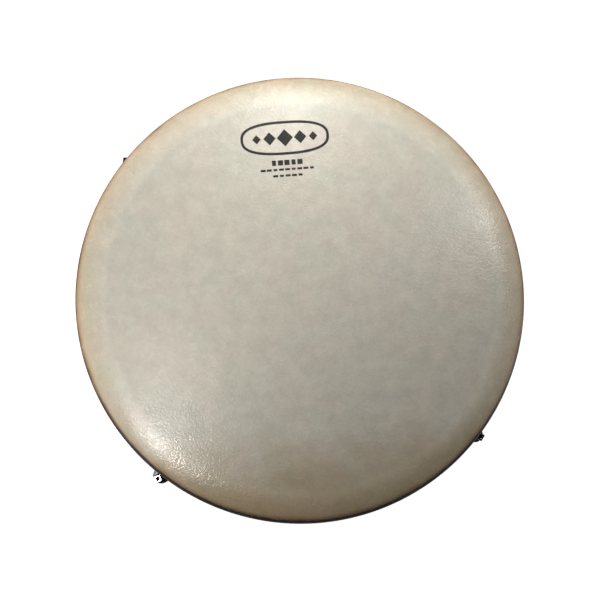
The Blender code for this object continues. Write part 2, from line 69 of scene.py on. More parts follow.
# Film and bearing edge
FILM_RADIUS = SHELL_HIGH.x + 0.0009
FILM_THICKNESS = 0.0006
FILM_INSET = 0.00005
HEM_RADIUS = HEAD_HIGH.x
HEM_TOP = HEAD_TOP - 0.037
FLAT_RADIUS = 0.1295
BROW_CURVE = 0.075
BROW_ANGLE = radians(12.0)
SHELL_DEPTH = 0.0009
WALL = 0.024
LIP = 0.0030

# Shell
BAND_RADIUS = 0.1496
BAND_TOP = HEAD_TOP - 0.035
BOWL_TOP = 0.460
NECK_Z = 0.212
NECK_RADIUS = 0.068
NECK_BORE = 0.046
BEAD = 0.004
BEAD_HALF_HEIGHT = 0.011
FOOT_RADIUS = 0.113
FOOT_BORE = 0.089
FOOT_LAND = 0.016
BOLT_HOLE_RADIUS = 0.0028

# Points round the axis of every large ring
ROUND = 256

# Light on the floor and from all round, against a camera background of 1
FLOOR_GLOW = 1.02
WORLD_LIGHT = 0.012


def srgb(red, green, blue):
    """A colour given as it looks on screen, 0 to 255, as linear values."""

    def linear(value):
        value /= 255.0
        return value / 12.92 if value <= 0.04045 else ((value + 0.055) / 1.055) ** 2.4

    return (linear(red), linear(green), linear(blue), 1.0)


# ---- camera
CAMERA_LENS = 25.69
CAMERA_HEIGHT = 0.280
CAMERA_OFFSET = 0.042
CAMERA_BEARING = radians(252.0)
CAMERA_AIM = (-0.0066, -0.0204)  # a point in the head's plane
CAMERA_SHIFT = (0.0120, 0.0369)


def build_camera():
    """The camera stands a little to the near side of the head's centre and looks almost straight down."""
    data = bpy.data.cameras.new("camera")
    data.sensor_width = 36.0
    data.lens = CAMERA_LENS
    data.shift_x, data.shift_y = CAMERA_SHIFT
    data.clip_start = 0.01
    camera = bpy.data.objects.new("camera", data)
    bpy.context.scene.collection.objects.link(camera)
    bearing = Vector((cos(CAMERA_BEARING), sin(CAMERA_BEARING), 0.0))
    place = bearing * CAMERA_OFFSET
    place.z = HEAD_TOP + CAMERA_HEIGHT
    target = Vector((*CAMERA_AIM, HEAD_TOP))
    back = (place - target).normalized()
    up = Vector((0.0, 1.0, 0.0))
    right = up.cross(back).normalized()
    up = back.cross(right)
    facing = Matrix((right, up, back)).transposed().to_4x4()
    camera.matrix_world = Matrix.Translation(place) @ facing
    bpy.context.scene.camera = camera


build_camera()


# ---- node graphs
class Graph:
    """A material's node tree, with a short call for each kind of node used here."""

    def __init__(self, name):
        self.material = bpy.data.materials.new(name)
        self.material.use_nodes = True
        self.tree = self.material.node_tree
        self.shader = self.tree.nodes["Principled BSDF"]
        self.place = self.node("ShaderNodeTexCoord").outputs["Object"]
        self.x, self.y, self.z = self.node("ShaderNodeSeparateXYZ", Vector=self.place).outputs

    def put(self, socket, value):
        if isinstance(value, bpy.types.NodeSocket):
            self.tree.links.new(value, socket)
        else:
            socket.default_value = value

    def node(self, kind, **inputs):
        made = self.tree.nodes.new(kind)
        for name, value in inputs.items():
            self.put(made.inputs[name.replace("_", " ")], value)
        return made

    def math(self, operation, first, second=0.0):
        made = self.tree.nodes.new("ShaderNodeMath")
        made.operation = operation
        self.put(made.inputs[0], first)
        self.put(made.inputs[1], second)
        return made.outputs[0]

    def join(self, x, y, z):
        return self.node("ShaderNodeCombineXYZ", X=x, Y=y, Z=z).outputs[0]

    def radius(self):
        """Distance from the drum's axis."""
        squares = [self.math("POWER", side, 2.0) for side in (self.x, self.y)]
        return self.math("SQRT", self.math("ADD", *squares))

    def towards(self, bearing):
        """Distance from the drum's axis, measured along one bearing."""
        along_x = self.math("MULTIPLY", self.x, cos(bearing))
        along_y = self.math("MULTIPLY", self.y, sin(bearing))
        return self.math("ADD", along_x, along_y)

    def stretched(self, x, y, z):
        made = self.node("ShaderNodeMapping", Vector=self.place)
        made.inputs["Scale"].default_value = (x, y, z)
        return made.outputs[0]

    def noise(self, scale, detail=3.0, roughness=0.5, distortion=0.0, vector=None):
        made = self.node("ShaderNodeTexNoise", Scale=scale, Detail=detail, Roughness=roughness)
        made.inputs["Distortion"].default_value = distortion
        self.put(made.inputs["Vector"], vector or self.place)
        return made.outputs[0]

    def wobble(self, scale, detail, amount):
        """Noise about zero, for edges that wander."""
        centred = self.math("SUBTRACT", self.noise(scale, detail), 0.5)
        return self.math("MULTIPLY", centred, amount)

    def span(self, value, low, high, to_low=0.0, to_high=1.0):
        """Maps low..high onto to_low..to_high with a smooth step."""
        made = self.tree.nodes.new("ShaderNodeMapRange")
        made.interpolation_type = "SMOOTHSTEP"
        self.put(made.inputs["Value"], value)
        for name, number in zip(("From Min", "From Max", "To Min", "To Max"), (low, high, to_low, to_high)):
            made.inputs[name].default_value = number
        return made.outputs[0]

    def mix(self, factor, first, second, blend="MIX"):
        made = self.tree.nodes.new("ShaderNodeMix")
        made.data_type = "RGBA"
        made.blend_type = blend
        self.put(made.inputs["Factor"], factor)
        self.put(made.inputs[6], first)
        self.put(made.inputs[7], second)
        return made.outputs[2]

    def tint(self, colour, by):
        return self.mix(1.0, colour, by, "MULTIPLY")

    def grey(self, value):
        """A value as a grey colour, for multiplying."""
        made = self.tree.nodes.new("ShaderNodeCombineColor")
        for socket in made.inputs:
            self.put(socket, value)
        return made.outputs[0]

    def ramp(self, factor, stops):
        """Stops are (position, colour)."""
        made = self.node("ShaderNodeValToRGB", Fac=factor)
        line = made.color_ramp
        line.elements[0].position, line.elements[0].color = stops[0]
        line.elements[1].position, line.elements[1].color = stops[-1]
        for position, colour in stops[1:-1]:
            line.elements.new(position).color = colour
        return made.outputs[0]

    def bump(self, height, distance, strength=1.0, under=None):
        made = self.node("ShaderNodeBump", Height=height, Strength=strength, Distance=distance)
        if under:
            self.put(made.inputs["Normal"], under)
        return made.outputs[0]

    def done(self, **inputs):
        for name, value in inputs.items():
            self.put(self.shader.inputs[name.replace("_", " ")], value)
        return self.material


# ---- materials
# The bearing towards which the film gets painted shade, the side away from the top lamp
SHADE_BEARING = radians(272.0)


def film_material():
    """Cream parchment-like film: cloudy mottling, a warmer band over the wood, painted light and shade on the
    rim, and a browner shoulder with painted shade.
    """
    g = Graph("mottled_film")
    radius = g.radius()
    below = g.math("SUBTRACT", HEAD_TOP, g.z)
    hue = g.span(g.noise(34.0, 4.0, 0.6, 0.6), 0.35, 0.65)
    colour = g.mix(hue, srgb(205, 198, 186), srgb(201, 199, 186))
    clouds = g.span(g.noise(95.0, 6.0, 0.66, 0.2), 0.28, 0.72, 0.925, 1.06)
    colour = g.tint(colour, g.grey(clouds))
    fibres = g.span(g.noise(430.0, 4.0, 0.7, 0.8), 0.28, 0.72, 0.955, 1.035)
    colour = g.tint(colour, g.grey(fibres))
    specks = g.span(g.noise(700.0, 2.0, 0.5), 0.76, 0.80)
    colour = g.mix(g.math("MULTIPLY", specks, 0.7), colour, srgb(250, 248, 240))
    rim = g.math("ADD", radius, g.wobble(24.0, 3.0, 0.006))
    band = g.ramp(
        g.span(rim, 0.1260, 0.1530),
        [
            (0.00, srgb(255, 255, 255)),
            (0.10, srgb(255, 255, 253)),
            (0.25, srgb(255, 252, 247)),
            (0.45, srgb(255, 250, 242)),
            (0.65, srgb(253, 246, 234)),
            (0.84, srgb(248, 235, 219)),
            (1.00, srgb(222, 194, 170)),
        ],
    )
    colour = g.tint(colour, band)
    # paler over the wood; the outer band also gets painted light, paler still except towards +y, where it is
    # painted a little darker
    painted_rim_light = g.math("MULTIPLY", g.span(radius, 0.1390, 0.1470), g.span(g.y, 0.04, 0.14, 0.13, -0.09))
    lift = g.math("ADD", g.span(radius, 0.1268, 0.1310, 1.0, 1.08), painted_rim_light)
    colour = g.tint(colour, g.grey(lift))
    # painted shade: the film is tinted darker and browner towards the side away from the top lamp
    near = g.towards(SHADE_BEARING)
    painted_shade = g.math("ADD", g.span(near, 0.055, 0.160), g.wobble(30.0, 4.0, 1.0))
    painted_shade = g.math("MULTIPLY", g.span(painted_shade, 0.1, 0.9), g.span(near, 0.05, 0.09))
    colour = g.mix(painted_shade, colour, g.tint(colour, srgb(228, 217, 200)))
    # the round shoulder turns browner and fades to tan down the hem; its near-black band is painted shade
    # where the shoulder turns from the light
    shoulder_depth = g.math("ADD", below, g.wobble(60.0, 4.0, 0.003))
    side = g.ramp(
        g.span(shoulder_depth, 0.0015, 0.0200),
        [
            (0.000, srgb(255, 255, 255)),
            (0.040, srgb(226, 206, 186)),
            (0.100, srgb(112, 80, 58)),
            (0.210, srgb(42, 27, 18)),
            (0.420, srgb(160, 124, 90)),
            (0.750, srgb(226, 202, 172)),
            (1.000, srgb(238, 220, 194)),
        ],
    )
    colour = g.tint(colour, side)
    # painted shade: a dark line along the edge on the side away from the top lamp
    reach = g.math("ADD", below, g.wobble(140.0, 4.0, 0.0008))
    line = g.math("MULTIPLY", g.span(reach, 0.0022, 0.0036), g.span(below, 0.007, 0.013, 1.0, 0.0))
    line = g.math("MULTIPLY", line, g.span(near, 0.02, 0.11))
    colour = g.mix(line, colour, srgb(40, 26, 18))
    grain = g.noise(760.0, 2.0, 0.6)
    edge = g.span(below, 0.0012, 0.0034)
    rough = g.math("ADD", g.span(g.noise(90.0, 4.0), 0.3, 0.7, 0.16, 0.26), g.math("MULTIPLY", grain, 0.06))
    rough = g.math("ADD", rough, g.math("MULTIPLY", edge, 0.3))
    normal = g.bump(g.noise(60.0, 4.0, 0.55), 0.00016, 0.8)
    normal = g.bump(g.noise(430.0, 4.0, 0.6), 0.00006, 0.7, normal)
    normal = g.bump(grain, 0.00017, 1.0, normal)
    gloss = g.math("SUBTRACT", 0.5, g.math("MULTIPLY", edge, 0.46))
    return g.done(Base_Color=colour, Roughness=rough, Normal=normal, IOR=1.6, Specular_IOR_Level=gloss)


def ink_material():
    """Printed ink, worn through in specks."""
    g = Graph("dark_ink")
    breaks = g.span(g.noise(2600.0, 3.0, 0.7), 0.28, 0.50)
    colour = g.mix(breaks, srgb(92, 88, 82), srgb(38, 36, 37))
    return g.done(Base_Color=colour, Roughness=g.span(g.noise(700.0), 0.3, 0.7, 0.38, 0.55))


def wood_grain(g, light, dark, pores, staves):
    """Straight grain along Z, in glued staves of slightly different tone."""
    share = g.math("MULTIPLY", g.math("ADD", g.math("ARCTAN2", g.y, g.x), pi), staves / (2 * pi))
    stave = g.math("FLOOR", share)
    tone = g.tree.nodes.new("ShaderNodeTexWhiteNoise")
    tone.noise_dimensions = "1D"
    g.put(tone.inputs["W"], stave)
    shift = g.join(g.math("MULTIPLY", tone.outputs[0], 0.7), g.math("MULTIPLY", stave, 0.31), 0.0)
    along = g.node("ShaderNodeVectorMath", Vector=g.stretched(1.0, 1.0, 0.055))
    along.operation = "ADD"
    g.put(along.inputs[1], shift)
    along = along.outputs[0]
    figure = g.noise(95.0, 7.0, 0.62, 1.2, along)
    colour = g.ramp(figure, [(0.28, dark), (0.50, light), (0.62, dark), (0.80, light)])
    value = g.math("ADD", 0.82, g.math("MULTIPLY", tone.outputs[0], 0.36))
    colour = g.tint(colour, g.grey(value))
    pore = g.span(g.noise(900.0, 2.0, 0.5, 0.0, g.stretched(1.0, 1.0, 0.035)), 0.60, 0.70)
    colour = g.mix(pore, colour, pores)
    edge = g.math("ABSOLUTE", g.math("SUBTRACT", g.math("FRACT", share), 0.5))
    joint = g.span(edge, 0.4965, 0.4990)
    colour = g.mix(g.math("MULTIPLY", joint, 0.7), colour, pores)
    height = g.math("SUBTRACT", g.math("SUBTRACT", figure, g.math("MULTIPLY", pore, 0.6)), joint)
    return colour, height, figure


def stained_wood_material():
    """Dark brown stain under satin lacquer, worn paler on the bead and the foot's edge."""
    g = Graph("stained_wood")
    colour, height, figure = wood_grain(g, srgb(112, 62, 34), srgb(62, 31, 17), srgb(26, 13, 8), 14.0)
    worn = g.span(g.node("ShaderNodeNewGeometry").outputs["Pointiness"], 0.53, 0.60)
    worn = g.math("MULTIPLY", worn, g.span(g.noise(45.0, 5.0, 0.7), 0.42, 0.62))
    colour = g.mix(worn, colour, srgb(150, 98, 60))
    dust = g.span(g.noise(26.0, 6.0, 0.75), 0.45, 0.85, 0.0, 0.10)
    colour = g.mix(dust, colour, srgb(150, 138, 122))
    rough = g.math("ADD", g.span(figure, 0.3, 0.7, 0.34, 0.46), g.math("MULTIPLY", dust, 1.2))
    normal = g.bump(height, 0.00012, 0.6)
    return g.done(
        Base_Color=colour,
        Roughness=rough,
        Normal=normal,
        Coat_Weight=0.55,
        Coat_Roughness=g.span(g.noise(130.0, 4.0), 0.3, 0.7, 0.10, 0.26),
        Coat_Normal=g.bump(g.noise(220.0, 3.0), 0.00003, 0.5),
    )


def raw_wood_material():
    """The unfinished inside: pale wood with a turner's rings."""
    g = Graph("raw_wood")
    colour, height, figure = wood_grain(g, srgb(196, 154, 108), srgb(160, 116, 74), srgb(104, 70, 42), 14.0)
    rings = g.noise(1.0, 2.0, 0.5, 0.0, g.stretched(6.0, 6.0, 900.0))
    height = g.math("ADD", height, g.math("MULTIPLY", rings, 0.8))
    rough = g.span(figure, 0.3, 0.7, 0.62, 0.80)
    return g.done(Base_Color=colour, Roughness=rough, Normal=g.bump(height, 0.00025, 0.7))


def enamel_material():
    """Gloss black enamel over cast metal, thin at the edges."""
    g = Graph("black_enamel")
    thin = g.span(g.node("ShaderNodeNewGeometry").outputs["Pointiness"], 0.56, 0.66)
    thin = g.math("MULTIPLY", thin, g.span(g.noise(600.0, 4.0, 0.7), 0.54, 0.70, 0.0, 0.7))
    colour = g.mix(g.noise(300.0, 4.0), srgb(10, 10, 11), srgb(18, 17, 18))
    colour = g.mix(thin, colour, srgb(112, 110, 108))
    smear = g.span(g.noise(150.0, 5.0, 0.65), 0.35, 0.75, 0.07, 0.16)
    normal = g.bump(g.noise(900.0, 3.0, 0.6), 0.00003, 0.6)
    return g.done(
        Base_Color=colour,
        Roughness=smear,
        Metallic=g.math("MULTIPLY", thin, 0.9),
        Normal=normal,
        Specular_IOR_Level=0.2,
    )


def metal_material(name, bright, dull, low_rough, high_rough, line_scale, line_depth):
    """Plated or plain metal: cloudy tarnish, finger smears and fine lines round the piece."""
    g = Graph(name)
    tarnish = g.span(g.noise(260.0, 5.0, 0.65), 0.35, 0.70)
    colour = g.mix(tarnish, bright, dull)
    lines = g.noise(1.0, 3.0, 0.6, 0.0, g.stretched(60.0, 60.0, line_scale))
    smears = g.span(g.noise(120.0, 5.0, 0.7), 0.35, 0.75, low_rough, high_rough)
    rough = g.math("ADD", smears, g.math("MULTIPLY", lines, 0.05))
    return g.done(Base_Color=colour, Metallic=1.0, Roughness=rough, Normal=g.bump(lines, line_depth, 0.5))


def rubber_material():
    """Moulded black rubber, dusty and scuffed towards the floor."""
    g = Graph("black_rubber")
    speck = g.span(g.noise(1400.0, 4.0, 0.7), 0.55, 0.75)
    low = g.span(g.z, 0.0, 0.012, 1.0, 0.25)
    dust = g.math("MULTIPLY", g.math("MULTIPLY", g.span(g.noise(70.0, 5.0, 0.7), 0.35, 0.75), low), 0.35)
    colour = g.mix(speck, srgb(27, 27, 28), srgb(44, 43, 42))
    colour = g.mix(dust, colour, srgb(122, 116, 108))
    rough = g.span(g.noise(500.0, 4.0), 0.3, 0.7, 0.62, 0.82)
    return g.done(Base_Color=colour, Roughness=rough, Normal=g.bump(g.noise(2200.0, 3.0), 0.00005, 0.6))


def floor_material():
    """A pale sweep, bright enough to stay near white under the lights."""
    g = Graph("pale_floor")
    tone = g.span(g.noise(6.0, 4.0), 0.3, 0.7, 0.90, 0.93)
    colour = g.grey(tone)
    return g.done(Base_Color=colour, Roughness=0.9, Emission_Color=colour, Emission_Strength=FLOOR_GLOW)


FILM = film_material()
INK = ink_material()
WOOD = stained_wood_material()
RAW_WOOD = raw_wood_material()
ENAMEL = enamel_material()
CHROME = metal_material("chrome", (0.80, 0.80, 0.82, 1), (0.66, 0.66, 0.67, 1), 0.05, 0.20, 5200.0, 0.00001)
ZINC = metal_material("zinc_steel", (0.56, 0.58, 0.61, 1), (0.47, 0.45, 0.38, 1), 0.28, 0.48, 3000.0, 0.00002)
ALUMINIUM = metal_material(
    "plain_aluminium", (0.74, 0.74, 0.75, 1), (0.58, 0.58, 0.59, 1), 0.26, 0.44, 6000.0, 0.00002
)
RUBBER = rubber_material()


# ---- mesh helpers
def new_piece(name, bm, *materials, crease=35.0):
    """Turns a bmesh into a smooth-shaded object."""
    bmesh.ops.remove_doubles(bm, verts=bm.verts, dist=1e-7)
    bmesh.ops.recalc_face_normals(bm, faces=bm.faces)
    mesh = bpy.data.meshes.new(name)
    bm.to_mesh(mesh)
    bm.free()
    mesh.shade_smooth()
    mesh.set_sharp_from_angle(angle=radians(crease))
    for material in materials:
        mesh.materials.append(material)
    piece = bpy.data.objects.new(name, mesh)
    bpy.context.scene.collection.objects.link(piece)
    return piece


def turn(bm, profile, steps, closed, matrix=None, swell=None):
    """Turns a (radius, height) profile about Z.  swell takes (radius, height, angle) and moves the point."""
    loops = []
    for i in range(steps):
        a = 2 * pi * i / steps
        loop = []
        for radius, height in profile:
            if swell:
                radius, height = swell(radius, height, a)
            point = Vector((radius * cos(a), radius * sin(a), height))
            loop.append(bm.verts.new(matrix @ point if matrix else point))
        loops.append(loop)
    count = len(profile)
    last = count if closed else count - 1
    for i in range(steps):
        here, after = loops[i], loops[(i + 1) % steps]
        for k in range(last):
            m = (k + 1) % count
            corners = [here[k], here[m], after[m], after[k]]
            if profile[k][0] == 0.0:
                corners = [here[k], here[m], after[m]]
            elif profile[m][0] == 0.0:
                corners = [here[k], here[m], after[k]]
            bm.faces.new(corners)


def lathe(name, profile, *materials, steps=ROUND, closed=True, matrix=None, swell=None, crease=35.0):
    """A turned piece, or a turned tool when it is given no material."""
    bm = bmesh.new()
    turn(bm, profile, steps, closed, matrix, swell)
    return new_piece(name, bm, *materials, crease=crease)


def rounded(points, radius, steps=4, closed=True):
    """A profile with each corner rounded.  radius may be one number or one for each corner."""
    made = []
    count = len(points)
    for i, corner in enumerate(points):
        reach = radius[i] if isinstance(radius, (list, tuple)) else radius
        if reach == 0.0 or (not closed and i in (0, count - 1)):
            made.append(tuple(corner))
            continue
        here = Vector(corner)
        before, after = Vector(points[i - 1]) - here, Vector(points[(i + 1) % count]) - here
        reach = min(reach, 0.48 * before.length, 0.48 * after.length)
        start, end = here + before.normalized() * reach, here + after.normalized() * reach
        for k in range(steps + 1):
            t = k / steps
            made.append(tuple((1 - t) ** 2 * start + 2 * t * (1 - t) * here + t * t * end))
    return made


def ring(outer, inner, top, bottom=0.0):
    """The closed profile of a round solid with a bore."""
    return [(outer, top), (outer, bottom), (inner, bottom), (inner, top)]


def disc(radius, top, bottom):
    """The open profile of a round solid."""
    return [(0.0, top), (radius, top), (radius, bottom), (0.0, bottom)]


def arc(centre, radius, start, end, count):
    """Points of an arc in the profile plane; angles in degrees from the radius towards +Z."""
    angles = [radians(start + (end - start) * i / (count - 1)) for i in range(count)]
    return [(centre[0] + radius * cos(a), centre[1] + radius * sin(a)) for a in angles]


def cylinder(bm, radius, depth, matrix=Matrix.Identity(4), segments=24):
    """A solid cylinder along Z, centred where the matrix puts it."""
    bmesh.ops.create_cone(
        bm,
        cap_ends=True,
        segments=segments,
        radius1=radius,
        radius2=radius,
        depth=depth,
        matrix=matrix,
    )


def box(bm, low, high):
    """A box between two corners."""
    low, high = Vector(low), Vector(high)
    size = Matrix.Diagonal((*(high - low), 1.0))
    return bmesh.ops.create_cube(bm, size=1.0, matrix=Matrix.Translation((low + high) / 2) @ size)


def rounded_plate(bm, low, high, corner, edge):
    """A plate facing +X with round corners and softened edges."""
    box(bm, low, high)

    def along_x(item):
        run = item.verts[1].co - item.verts[0].co
        return abs(run.x) > max(abs(run.y), abs(run.z))

    corners = [item for item in bm.edges if along_x(item)]
    bmesh.ops.bevel(bm, geom=corners, offset=corner, segments=10, affect="EDGES", profile=0.5)
    rims = [item for item in bm.edges if not along_x(item) and item.calc_face_angle(0.0) > 1.2]
    bmesh.ops.bevel(bm, geom=rims, offset=edge, segments=3, affect="EDGES", profile=0.5)


def shaped(piece, tools, voxel=None, smooth=0, crease=35.0):
    """Joins or cuts tools, given as (object, operation), then bakes the result into the piece's own mesh."""
    for tool, operation in tools:
        step = piece.modifiers.new(operation.lower(), "BOOLEAN")
        step.operation = operation
        step.object = tool
        step.solver = "EXACT"
    if voxel:
        remesh = piece.modifiers.new("cast", "REMESH")
        remesh.mode = "VOXEL"
        remesh.voxel_size = voxel
        softened = piece.modifiers.new("soften", "SMOOTH")
        softened.factor = 0.5
        softened.iterations = smooth
    materials = list(piece.data.materials)
    evaluated = piece.evaluated_get(bpy.context.evaluated_depsgraph_get())
    mesh = bpy.data.meshes.new_from_object(evaluated)
    piece.modifiers.clear()
    piece.data = mesh
    mesh.materials.clear()
    for material in materials:
        mesh.materials.append(material)
    mesh.shade_smooth()
    if not voxel:
        mesh.set_sharp_from_angle(angle=radians(crease))
    for tool, _ in tools:
        bpy.data.objects.remove(tool, do_unlink=True)
    return piece


def joined(piece, bm, crease=40.0):
    """Adds a closed mesh to a piece's own."""
    bmesh.ops.remove_doubles(bm, verts=bm.verts, dist=1e-7)
    bmesh.ops.recalc_face_normals(bm, faces=bm.faces)
    bm.from_mesh(piece.data)
    bm.to_mesh(piece.data)
    bm.free()
    piece.data.shade_smooth()
    piece.data.set_sharp_from_angle(angle=radians(crease))
    return piece


def stands_for(piece, body, slot, *nodes):
    """Puts a piece on its body in place of its CAD nodes."""
    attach(piece, body)
    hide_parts(*nodes)


def middle_of(node):
    """The bearing and the height of a CAD node's middle."""
    low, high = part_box(node)
    centre = (low + high) / 2
    return atan2(centre.y, centre.x), centre.z


def copies(piece, count):
    """The piece and its copies, which share its mesh."""
    made = [piece]
    for _ in range(count - 1):
        twin = piece.copy()
        bpy.context.scene.collection.objects.link(twin)
        made.append(twin)
    return made


def at_station(angle, x=0.0, z=0.0, spin=None):
    """A matrix that puts a piece at a station: X points out of the drum."""
    matrix = Matrix.Rotation(radians(angle), 4, "Z") @ Matrix.Translation((x, 0.0, z))
    return matrix @ spin if spin else matrix


def at_each_station(first, name, x, z, body, slot, node):
    """Stands a piece and its copies at the stations, each in place of its own CAD node."""
    for index, piece in enumerate(copies(first, len(RODS)), start=1):
        piece.name = f"{name}_{index}"
        piece.matrix_world = at_station(STATIONS[index - 1], x, z)
        stands_for(piece, body, slot, f"{node}_{index}")


# ---- film head
def shoulder_points(inset, count):
    """The bearing edge: a wide brow falling away from the flat, then a round shoulder."""
    brow_end = FLAT_RADIUS + BROW_CURVE * sin(BROW_ANGLE)
    shoulder = (FILM_RADIUS - brow_end) / (1 - sin(BROW_ANGLE))
    drop = BROW_CURVE * (1 - cos(BROW_ANGLE))
    brow = arc((FLAT_RADIUS, HEAD_TOP - BROW_CURVE), BROW_CURVE - inset, 90.0, 90.0 - degrees(BROW_ANGLE), 8)
    centre = (FILM_RADIUS - shoulder, HEAD_TOP - drop - shoulder * cos(BROW_ANGLE))
    return brow + arc(centre, shoulder - inset, 90.0 - degrees(BROW_ANGLE), 0.0, count)[1:]


def straight(start, end, count):
    """Points of a straight run in the profile plane, without its start."""
    run = (end[0] - start[0], end[1] - start[1])
    return [(start[0] + run[0] * i / count, start[1] + run[1] * i / count) for i in range(1, count + 1)]


def film_face(inset):
    """One face of the film from its centre, over the bearing edge, to the end of its hem."""
    top = HEAD_TOP - inset
    points = [(0.0, top)]
    points += [(0.010 * i, top) for i in range(1, 13)]
    points += shoulder_points(inset, 16)
    low = points[-1]
    hem = (HEM_RADIUS - inset, HEM_TOP)
    points += straight(low, hem, 14) + straight(hem, (hem[0], HEAD_LOW.z), 4)
    return points


def build_film():
    """The head, whose hem stretches between the shell and the hoop."""
    profile = film_face(FILM_INSET) + list(reversed(film_face(FILM_THICKNESS)))
    film = lathe("film_head", profile, FILM, closed=False, crease=60.0)
    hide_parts("head_film")
    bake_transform(film)


# ---- printed mark
MARK_CENTRE = Vector((-0.0120, 0.1045))
MARK_TILT = radians(5.0)
MARK_SIZE = (0.0600, 0.0236)
MARK_STROKE = 0.0018
# Rows of dashes: their height on the mark, their length, their thickness and the number of dashes
MARK_ROWS = ((-0.0172, 0.022, 0.0036, 5), (-0.0219, 0.037, 0.0015, 9), (-0.0262, 0.021, 0.0015, 5))


def prism(bm, loops, low, high):
    """Flat ink: one outline, or an outline and a hole with the same number of points."""
    outer = loops[0]
    rings = []
    for loop in loops:
        rings.append([[bm.verts.new((x, y, z)) for x, y in loop] for z in (low, high)])
    count = len(outer)
    for bottom, top in rings:
        for i in range(count):
            j = (i + 1) % count
            bm.faces.new((bottom[i], bottom[j], top[j], top[i]))
    if len(rings) == 1:
        bm.faces.new(rings[0][1])
        bm.faces.new(list(reversed(rings[0][0])))
        return
    for level in (0, 1):
        for i in range(count):
            j = (i + 1) % count
            out, hole = rings[0][level], rings[1][level]
            bm.faces.new((out[i], out[j], hole[j], hole[i]))


def lozenge(width, height, power, count=96):
    """A superellipse outline."""
    points = []
    for i in range(count):
        a = 2 * pi * i / count
        c, s = cos(a), sin(a)
        x = width / 2 * abs(c) ** (2 / power) * (1 if c >= 0 else -1)
        y = height / 2 * abs(s) ** (2 / power) * (1 if s >= 0 else -1)
        points.append((x, y))
    return points


def build_mark():
    """A plain oval with a row of diamonds, and rows of dashes under it."""
    low, high = HEAD_TOP - 0.00004, HEAD_TOP - 0.00002
    bm = bmesh.new()

    def add(*loops):
        turned_loops = []
        for loop in loops:
            c, s = cos(MARK_TILT), sin(MARK_TILT)
            turned_loops.append(
                [(MARK_CENTRE.x + x * c - y * s, MARK_CENTRE.y + x * s + y * c) for x, y in loop]
            )
        prism(bm, turned_loops, low, high)

    def dash(x, y, width, height):
        left, right = x - width / 2, x + width / 2
        foot, head = y - height / 2, y + height / 2
        add([(left, foot), (right, foot), (right, head), (left, head)])

    width, height = MARK_SIZE
    add(
        lozenge(width, height, 2.6),
        lozenge(width - 2 * MARK_STROKE, height - 2 * MARK_STROKE, 2.6),
    )
    for step in range(-2, 3):
        size = 0.0120 - 0.0028 * abs(step)
        x = step * (0.0112 - 0.0008 * abs(step))
        add([(x + size * 0.46, 0.0), (x, size / 2), (x - size * 0.46, 0.0), (x, -size / 2)])
    for row, (y, span, thick, count) in enumerate(MARK_ROWS):
        pitch = span / count
        for i in range(count):
            share = 0.80 if (i + row) % 3 else 0.62
            dash((i - (count - 1) / 2) * pitch, y, pitch * share, thick)
    mark = new_piece("head_mark", bm, INK)
    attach(mark, "drum")


# ---- wooden shell
def eased(low_radius, high_radius, low, high, count):
    """Points down an S-shaped wall from its wide top to its narrow bottom."""
    steps = [i / (count - 1) for i in range(count)]
    rise = high_radius - low_radius
    return [(low_radius + rise * (1 + cos(pi * t)) / 2, high + (low - high) * t) for t in steps]


def flared(top_radius, foot_radius, top, foot, count):
    """Points down a stem that opens into a foot."""
    steps = [i / (count - 1) for i in range(count)]
    return [
        (top_radius + (foot_radius - top_radius) * (1 - cos(pi * t / 2)) ** 0.85, top + (foot - top) * t)
        for t in steps
    ]


def groove(depth, height, count=7):
    """A turned V groove in a wall, as (radius change, height) pairs going down."""
    made = []
    for i in range(count):
        t = 2 * i / (count - 1) - 1
        made.append((-depth * (1 - abs(t)) ** 0.8, -t * height / 2))
    return made


def with_grooves(points, levels, depth=0.0007, height=0.0024):
    """Cuts turned grooves into an outer wall that runs downwards."""
    made = []
    for (upper_r, upper_z), (lower_r, lower_z) in zip(points, points[1:]):
        made.append((upper_r, upper_z))
        for level in levels:
            if lower_z < level <= upper_z:
                t = (upper_z - level) / (upper_z - lower_z)
                radius = upper_r + (lower_r - upper_r) * t
                slope = (lower_r - upper_r) / (lower_z - upper_z)
                for change, rise in groove(depth, height):
                    made.append((radius + change + slope * rise, level + rise))
    made.append(points[-1])
    return made


def outer_wall():
    """The wall's outer side from the bearing edge's round shoulder to the foot."""
    foot_top = SHELL_LOW.z + FOOT_LAND
    wall = shoulder_points(SHELL_DEPTH, 12)[1:]
    wall += [(BAND_RADIUS, BAND_TOP)]
    bowl = eased(NECK_RADIUS, BAND_RADIUS, NECK_Z + BEAD_HALF_HEIGHT, BOWL_TOP, 64)
    wall += with_grooves(bowl, (0.4405, 0.4365, 0.2460, 0.2420))
    bead = []
    for i in range(17):
        t = i / 16
        bead.append((NECK_RADIUS + BEAD * sin(pi * t) ** 0.75, NECK_Z + BEAD_HALF_HEIGHT * (0.72 - 1.44 * t)))
    wall += bead
    stem = flared(NECK_RADIUS, FOOT_RADIUS, NECK_Z - BEAD_HALF_HEIGHT, foot_top, 48)
    wall += with_grooves(stem, (0.1815, 0.1775, 0.0460, 0.0420))
    return wall


def inner_wall():
    """The cavity's side from the foot's mouth up to the bearing edge's inner lip."""
    wall = list(reversed(flared(NECK_BORE, FOOT_BORE, NECK_Z, SHELL_LOW.z, 32)))
    bore = SHELL_HIGH.x - WALL
    wall += list(reversed(eased(NECK_BORE, bore, NECK_Z, BOWL_TOP, 48)))[1:]
    top = HEAD_TOP - SHELL_DEPTH
    wall += list(reversed(arc((bore + LIP, top - LIP), LIP, 90, 180, 8)))
    return wall


